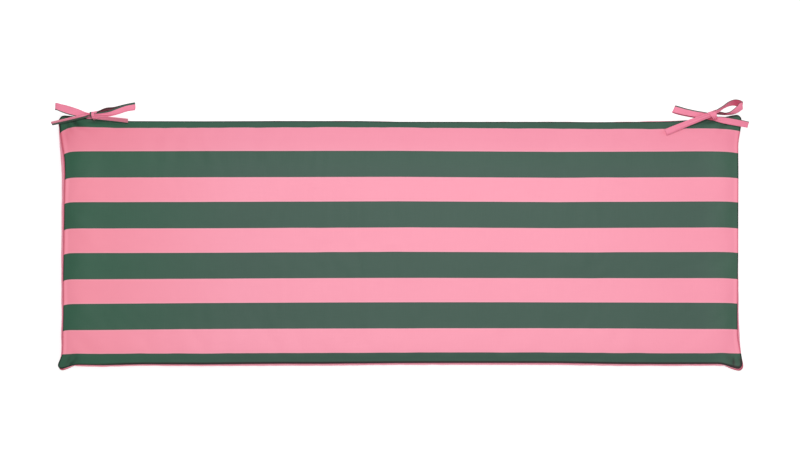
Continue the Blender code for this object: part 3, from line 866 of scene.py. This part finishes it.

# What those colours are multiplied by as painted shade: in the seams, partly their thread's dark, and
# towards the back
SEAM_THREAD_AND_SHADE_GREEN = (0.13, 0.05, 0.07)
SEAM_THREAD_AND_SHADE_FRONT = (0.62, 0.16, 0.25)
SEAM_THREAD_AND_SHADE_PINK = (0.74, 0.38, 0.46)
BACK_PINK_PAINTED_SHADE = (0.93, 0.85, 0.88)
BACK_GREEN_PAINTED_SHADE = (0.79, 1.0, 0.90)

# Colours of the ties' cloth, with painted shade for the gathers' valleys, the folds and the loops' insides,
# and a painted pale sheen
TIE_PINK = (0.88, 0.255, 0.375)
TIE_SHADE = (0.70, 0.150, 0.250)
TIE_VALLEY_PAINTED_SHADE = (0.26, 0.030, 0.060)
TIE_FOLD_PAINTED_SHADE = (0.60, 0.29, 0.37)
TIE_INSIDE_PAINTED_SHADE = (0.085, 0.030, 0.036)
TIE_PAINTED_SHEEN = (0.60, 0.28, 0.31)

# The stripes, and the pale and the dark line where two of them meet
STRIPE_PERIOD = 0.08885
GREEN_WIDE = 0.0460
GREEN_CENTRE = 0.0481
EDGE_SOFT = 0.0005
EDGE_LINE = 0.0016
PALE_LINE_SHARE = 0.55
DARK_LINE_SHARE = 0.5

# The yarn's width, the slubs, and the relief of both
YARN = 0.00062
SLUB_LONG_SCALE = 30.0
SLUB_THIN_SCALE = 900.0
SLUB_DETAIL = 3.0
SLUB_RELIEF = 0.8
RELIEF_STRENGTH = 0.35
RELIEF_DEPTH = 0.00025
CLOTH_ROUGHNESS = 0.48
CLOTH_SPECULAR = 0.25

# How cloudy each cloth is, and how much of its shade colour that brings in
PANEL_CLOUDS = dict(scale=9.0, detail=3.0, weight=0.5, low=0.45, high=1.05)
TIE_CLOUDS = dict(scale=60.0, detail=2.0, weight=0.7, low=0.5, high=1.2)
PINK_UNEVEN = 0.30
GREEN_UNEVEN = 0.35
TIE_UNEVEN = 0.45

# Where the painted shade and light of the ends, the painted shade of the back and the front seam's darker
# painted shade start to change, and where they have changed
LEFT_SHADE_FADE = (-0.28, -0.54)
RIGHT_SHADE_FADE = (0.32, 0.58)
RIGHT_GREEN_LIGHT_FADE = (0.53, 0.60)
BACK_SHADE_FADE = (0.13, 0.18)
FRONT_FADE = (-0.200, -0.208)
FRONT_END_FADE = (-0.53, -0.48)

# Painted shade of the seams, partly their thread's dark, and of the creases, and the painted highlight on
# the rolls, by distance from the seam and by depth
PANEL_SEAM_SHADE = (0.0036, 0.0020)
FRONT_SEAM_SHADE = (0.0048, 0.0034)
BOXING_SEAM_SHADE = (0.0018, 0.0005)
ROLL_INNER = (0.0090, 0.0060)
ROLL_OUTER = (0.0034, 0.0050)
CREASE_SHADE_FULL = 0.0045
SEAM_SHADE_SHARE = 0.9
ROLL_HIGHLIGHT_SHARE = 0.5
CREASE_SHADE_SHARE = 0.80

# The ties' stitches with their painted shade, the gathers' painted shade, green edges, the painted sheen,
# and the painted shade of folds and the loops' insides
STITCH_FADE = (0.0005, 0.0001)
STITCH_AND_SHADE_SHARE = 0.45
VALLEY_FADE = (0.0001, 0.0010)
VALLEY_SHADE_SHARE = 0.65
DYE_SOFT = 0.0001
PAINTED_SHEEN_SHARE = 0.40
FOLD_SHADE = 0.6
INSIDE_SHADE = 0.95
INSIDE_PAINTED_SHADE_SHARE = 0.85


class Nodes:
    """A short hand for building a node material."""

    def __init__(self, name):
        self.material = bpy.data.materials.new(name)
        self.material.use_nodes = True
        self.tree = self.material.node_tree
        self.shader = self.tree.nodes["Principled BSDF"]

    def link(self, value, socket):
        if isinstance(value, (int, float)):
            socket.default_value = value
        elif isinstance(value, tuple):
            socket.default_value = (*value, 1.0) if len(socket.default_value) == 4 else value
        else:
            self.tree.links.new(value, socket)

    def link_all(self, values, sockets):
        for value, socket in zip(values, sockets):
            self.link(value, socket)

    def node(self, kind, **settings):
        made = self.tree.nodes.new(kind)
        for key, value in settings.items():
            setattr(made, key, value)
        return made

    def math(self, operation, *values):
        made = self.node("ShaderNodeMath", operation=operation)
        self.link_all(values, made.inputs)
        return made.outputs[0]

    def vector(self, name):
        return self.node("ShaderNodeAttribute", attribute_name=name).outputs["Vector"]

    def split(self, vector):
        made = self.node("ShaderNodeSeparateXYZ")
        self.link(vector, made.inputs[0])
        return made.outputs

    def join(self, x, y):
        made = self.node("ShaderNodeCombineXYZ")
        self.link_all((x, y), made.inputs)
        return made.outputs[0]

    def mix(self, share, first, second, blend="MIX"):
        made = self.node("ShaderNodeMix", data_type="RGBA", blend_type=blend)
        self.link_all((share, first, second), (made.inputs[0], made.inputs[6], made.inputs[7]))
        return made.outputs[2]

    def multiply(self, share, colour, shade):
        return self.mix(share, colour, shade, "MULTIPLY")

    def mix_value(self, share, first, second):
        made = self.node("ShaderNodeMix", data_type="FLOAT")
        self.link_all((share, first, second), (made.inputs[0], made.inputs[2], made.inputs[3]))
        return made.outputs[0]

    def noise(self, vector, scale, detail):
        made = self.node("ShaderNodeTexNoise")
        sockets = (made.inputs["Vector"], made.inputs["Scale"], made.inputs["Detail"])
        self.link_all((vector, scale, detail), sockets)
        return made.outputs["Fac"]

    def ramp(self, value, low, high, to_low=0.0, to_high=1.0):
        """Goes from one number to another as the value goes from low to high."""
        made = self.node("ShaderNodeMapRange", clamp=True)
        self.link_all((value, low, high, to_low, to_high), made.inputs)
        return made.outputs[0]


def weave(n, u, v):
    """Height of a plain weave, from 0 to 1, from the two cloth coordinates."""
    turns = 2 * math.pi / (2 * YARN)
    warp, weft = n.math("SINE", n.math("MULTIPLY", u, turns)), n.math("SINE", n.math("MULTIPLY", v, turns))
    return n.math("MULTIPLY_ADD", n.math("MULTIPLY", warp, weft), 0.5, 0.5)


def slubs(n, u, v):
    """Uneven yarns: streaks along each of the two ways of the weave."""
    streaks = []
    for u_scale, v_scale in ((SLUB_LONG_SCALE, SLUB_THIN_SCALE), (SLUB_THIN_SCALE, SLUB_LONG_SCALE)):
        place = n.join(n.math("MULTIPLY", u, u_scale), n.math("MULTIPLY", v, v_scale))
        streaks.append(n.noise(place, 1.0, SLUB_DETAIL))
    return n.math("MULTIPLY", n.math("ADD", *streaks), 0.5)


def uneven(n, u, v, scale, detail, weight, low, high):
    """The slubs, and the slubs with soft clouds over them as a share of shade."""
    tone = slubs(n, u, v)
    cloudy = n.noise(n.join(u, v), scale, detail)
    return tone, n.ramp(n.math("ADD", tone, n.math("MULTIPLY", cloudy, weight)), low, high)


def finish_cloth(n, colour, u, v, tone):
    """Sets the shader of a cloth: its colour, its even values and the relief of its weave and slubs."""
    n.link(colour, n.shader.inputs["Base Color"])
    n.link(CLOTH_ROUGHNESS, n.shader.inputs["Roughness"])
    n.link(0.0, n.shader.inputs["Metallic"])
    n.link(CLOTH_SPECULAR, n.shader.inputs["Specular IOR Level"])
    relief = n.math("ADD", weave(n, u, v), n.math("MULTIPLY", tone, SLUB_RELIEF))
    bump = n.node("ShaderNodeBump")
    n.link(RELIEF_STRENGTH, bump.inputs["Strength"])
    n.link(RELIEF_DEPTH, bump.inputs["Distance"])
    n.link(relief, bump.inputs["Height"])
    n.link(bump.outputs[0], n.shader.inputs["Normal"])
    return n.material


def outside_green(n, v):
    """Distance out from the edge of the nearest green stripe, below zero inside the stripe."""
    phase = n.math("DIVIDE", n.math("SUBTRACT", v, GREEN_CENTRE), STRIPE_PERIOD)
    off = n.math("SUBTRACT", phase, n.math("ROUND", phase))
    return n.math("SUBTRACT", n.math("MULTIPLY", n.math("ABSOLUTE", off), STRIPE_PERIOD), GREEN_WIDE / 2)


def striped(n, u, shade, from_edge, pinkness, boxing):
    """The stripes' colour, with their pale and dark lines, painted shade at the ends and painted light on
    the right green.
    """
    # Painted shade towards both ends, and painted light on the green of the right end
    left_painted_shade, right_painted_shade = n.ramp(u, *LEFT_SHADE_FADE), n.ramp(u, *RIGHT_SHADE_FADE)
    pink = n.mix(right_painted_shade, n.mix(left_painted_shade, PINK, PINK_LEFT_PAINTED_SHADE), PINK_RIGHT_PAINTED_SHADE)
    pink = n.mix(n.math("MULTIPLY", shade, PINK_UNEVEN), pink, PINK_SHADE)
    green = n.mix(n.ramp(u, *RIGHT_GREEN_LIGHT_FADE), n.mix(left_painted_shade, GREEN, GREEN_LEFT_PAINTED_SHADE), GREEN_RIGHT_PAINTED_LIGHT)
    green = n.mix(n.math("MULTIPLY", shade, GREEN_UNEVEN), green, GREEN_SHADE)
    pale_line = n.math("MULTIPLY", n.ramp(from_edge, EDGE_LINE, 0.0), n.ramp(from_edge, 0.0, EDGE_SOFT))
    pale_line = n.math("MULTIPLY", pale_line, n.math("SUBTRACT", 1.0, boxing))
    pink = n.mix(n.math("MULTIPLY", pale_line, PALE_LINE_SHARE), pink, PINK_PALE)
    dark_line = n.ramp(from_edge, -EDGE_LINE, 0.0)
    green = n.mix(n.math("MULTIPLY", dark_line, DARK_LINE_SHARE), green, GREEN_SHADE)
    return n.mix(pinkness, green, pink)


def sewn(n, colour, u, v, pinkness, boxing):
    """The colour with a painted highlight on the rolls beside the seams, and painted shade in the creases
    and in the seams, partly their thread's dark.
    """
    from_seam, sunk, _ = n.split(n.vector("seam"))
    at_front = n.math("MULTIPLY", n.ramp(v, *FRONT_FADE), n.ramp(u, *FRONT_END_FADE))
    # Painted shade in the seams' grooves, partly their thread's dark, wider and darker along the front
    panel_seam_shade = n.mix_value(at_front, n.ramp(from_seam, *PANEL_SEAM_SHADE), n.ramp(from_seam, *FRONT_SEAM_SHADE))
    in_seam_shade = n.mix_value(boxing, panel_seam_shade, n.ramp(from_seam, *BOXING_SEAM_SHADE))
    # A painted highlight on the pink rolls beside the panels' seams
    roll_highlight = n.math("MULTIPLY", n.ramp(from_seam, *ROLL_INNER), n.ramp(from_seam, *ROLL_OUTER))
    roll_highlight = n.math("MULTIPLY", roll_highlight, n.math("SUBTRACT", pinkness, boxing))
    colour = n.mix(n.math("MULTIPLY", roll_highlight, ROLL_HIGHLIGHT_SHARE), colour, PINK_ROLL_HIGHLIGHT)
    thread_and_painted_shade = n.mix(pinkness, n.mix(at_front, SEAM_THREAD_AND_SHADE_GREEN, SEAM_THREAD_AND_SHADE_FRONT), SEAM_THREAD_AND_SHADE_PINK)
    colour = n.multiply(n.math("MULTIPLY", in_seam_shade, SEAM_SHADE_SHARE), colour, thread_and_painted_shade)
    # Painted shade in the creases, by their depth
    return n.multiply(n.ramp(sunk, 0.0, CREASE_SHADE_FULL, 0.0, CREASE_SHADE_SHARE), colour, thread_and_painted_shade)


def striped_cloth():
    """Stripes along the length on the panels, plain pink on the boxing."""
    n = Nodes("striped_cloth")
    u, v, boxing = n.split(n.vector("cloth"))
    tone, shade = uneven(n, u, v, **PANEL_CLOUDS)
    from_edge = outside_green(n, v)
    pinkness = n.math("MAXIMUM", n.ramp(from_edge, -EDGE_SOFT, EDGE_SOFT), boxing)
    colour = striped(n, u, shade, from_edge, pinkness, boxing)
    colour = sewn(n, colour, u, v, pinkness, boxing)
    # Painted shade towards the back, which also turns the green greener
    colour = n.multiply(n.ramp(v, *BACK_SHADE_FADE), colour, n.mix(pinkness, BACK_GREEN_PAINTED_SHADE, BACK_PINK_PAINTED_SHADE))
    return finish_cloth(n, colour, u, v, tone)


def tie_cloth(name):
    """Pink cloth, green where the strip was cut across the next stripe, with painted shade and a painted
    pale sheen.
    """
    n = Nodes(name)
    u, v, dye = n.split(n.vector("cloth"))
    valley, inside, _ = n.split(n.vector("gather"))
    tone, shade = uneven(n, u, v, **TIE_CLOUDS)
    pink = n.mix(n.math("MULTIPLY", shade, TIE_UNEVEN), TIE_PINK, TIE_SHADE)
    from_stitch = n.math("ABSOLUTE", n.math("SUBTRACT", n.math("ABSOLUTE", v), STITCH_IN * TIE_WIDTH / 2))
    # The stitch lines darkened: partly the stitches' own line, partly painted shade at the strip's edges
    stitch_and_shade = n.ramp(from_stitch, *STITCH_FADE)
    pink = n.mix(n.math("MULTIPLY", stitch_and_shade, STITCH_AND_SHADE_SHARE), pink, TIE_SHADE)
    # A painted pale sheen where a turn's shade is below zero
    pink = n.mix(n.ramp(inside, 0.0, -1.0, 0.0, PAINTED_SHEEN_SHARE), pink, TIE_PAINTED_SHEEN)
    green = n.mix(n.math("MULTIPLY", shade, GREEN_UNEVEN), GREEN, GREEN_SHADE)
    colour = n.mix(n.ramp(dye, -DYE_SOFT, DYE_SOFT), pink, green)
    # Painted shade in the gathers' valleys
    colour = n.mix(n.ramp(valley, *VALLEY_FADE, 0.0, VALLEY_SHADE_SHARE), colour, TIE_VALLEY_PAINTED_SHADE)
    # Painted shade on the folds and, deeper, inside the loops
    colour = n.multiply(n.ramp(inside, 0.0, FOLD_SHADE), colour, TIE_FOLD_PAINTED_SHADE)
    colour = n.mix(n.ramp(inside, FOLD_SHADE, INSIDE_SHADE, 0.0, INSIDE_PAINTED_SHADE_SHARE), colour, TIE_INSIDE_PAINTED_SHADE)
    return finish_cloth(n, colour, u, v, tone)


# The stage

FLOOR_HALF = 3.0
FLOOR_COLOUR = (0.40, 0.40, 0.40)
FLOOR_ROUGHNESS = 0.9
GLOW_COLOUR = (1.0, 1.0, 1.0)
FLOOR_GLOW = 0.80
STUDIO_LIGHT = 0.45

Light = namedtuple("Light", "name place size power aims_at")
LIGHTS = (
    Light("overhead", (0.20, 0.05, 2.55), (1.5, 0.8), 22.5, (0.05, -0.10, 0.0)),
    Light("from_the_back", (0.15, 0.95, 2.55), (0.3, 0.15), 21.5, (0.05, 0.0, 0.0)),
)


def floor_paint():
    """A pale floor that glows a little, so that it stays white under the cushion's soft shadow."""
    n = Nodes("floor_paint")
    n.link(FLOOR_COLOUR, n.shader.inputs["Base Color"])
    n.link(FLOOR_ROUGHNESS, n.shader.inputs["Roughness"])
    n.link(GLOW_COLOUR, n.shader.inputs["Emission Color"])
    n.link(FLOOR_GLOW, n.shader.inputs["Emission Strength"])
    n.link(0.0, n.shader.inputs["Specular IOR Level"])
    return n.material


def add_floor(material):
    mesh = bpy.data.meshes.new("floor")
    corners = [(x * FLOOR_HALF, y * FLOOR_HALF, 0) for x, y in ((-1, -1), (1, -1), (1, 1), (-1, 1))]
    mesh.from_pydata(corners, [], [(0, 1, 2, 3)])
    mesh.materials.append(material)
    floor = bpy.data.objects.new("floor", mesh)
    bpy.context.scene.collection.objects.link(floor)


def add_camera():
    data = bpy.data.cameras.new("camera")
    camera = bpy.data.objects.new("camera", data)
    bpy.context.scene.collection.objects.link(camera)
    data.sensor_width = SENSOR_WIDE
    data.lens = SENSOR_WIDE * CAMERA_DISTANCE / (IMAGE_WIDE * METRES_PER_PIXEL)
    tilt = math.radians(CAMERA_TILT)
    looks_at = Vector((0, (MIDDLE_ROW - IMAGE_HIGH / 2) * METRES_PER_PIXEL, FACE_HEIGHT))
    camera.location = looks_at + CAMERA_DISTANCE * Vector((0, -math.sin(tilt), math.cos(tilt)))
    camera.rotation_euler = (tilt, 0, 0)
    bpy.context.scene.camera = camera


def add_area_light(light):
    data = bpy.data.lights.new(light.name, "AREA")
    data.shape = "RECTANGLE"
    data.size, data.size_y = light.size
    data.energy = light.power
    lamp = bpy.data.objects.new(light.name, data)
    lamp.location = light.place
    lamp.rotation_euler = (Vector(light.place) - Vector(light.aims_at)).to_track_quat("Z", "Y").to_euler()
    bpy.context.scene.collection.objects.link(lamp)


def add_studio():
    """Even light from all round and the area lights, shown without a film curve."""
    world = bpy.data.worlds.new("studio")
    bpy.context.scene.world = world
    world.use_nodes = True
    background = world.node_tree.nodes["Background"]
    background.inputs["Color"].default_value = (1, 1, 1, 1)
    background.inputs["Strength"].default_value = STUDIO_LIGHT
    for light in LIGHTS:
        add_area_light(light)
    bpy.context.scene.view_settings.view_transform = "Standard"


add_camera()
add_studio()
add_floor(floor_paint())
cushion = make_cushion(striped_cloth())
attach(cushion, "root")
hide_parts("cushion")
for bow, drawn, wrapped in (("left", LEFT_DRAWN, LEFT_WRAPPED), ("right", RIGHT_DRAWN, RIGHT_WRAPPED)):
    cloth = tie_cloth(bow + "_tie_weave")
    make_tie(bow + "_a", drawn, cloth)
    make_tie(bow + "_b", wrapped, cloth, WRAPS[bow])
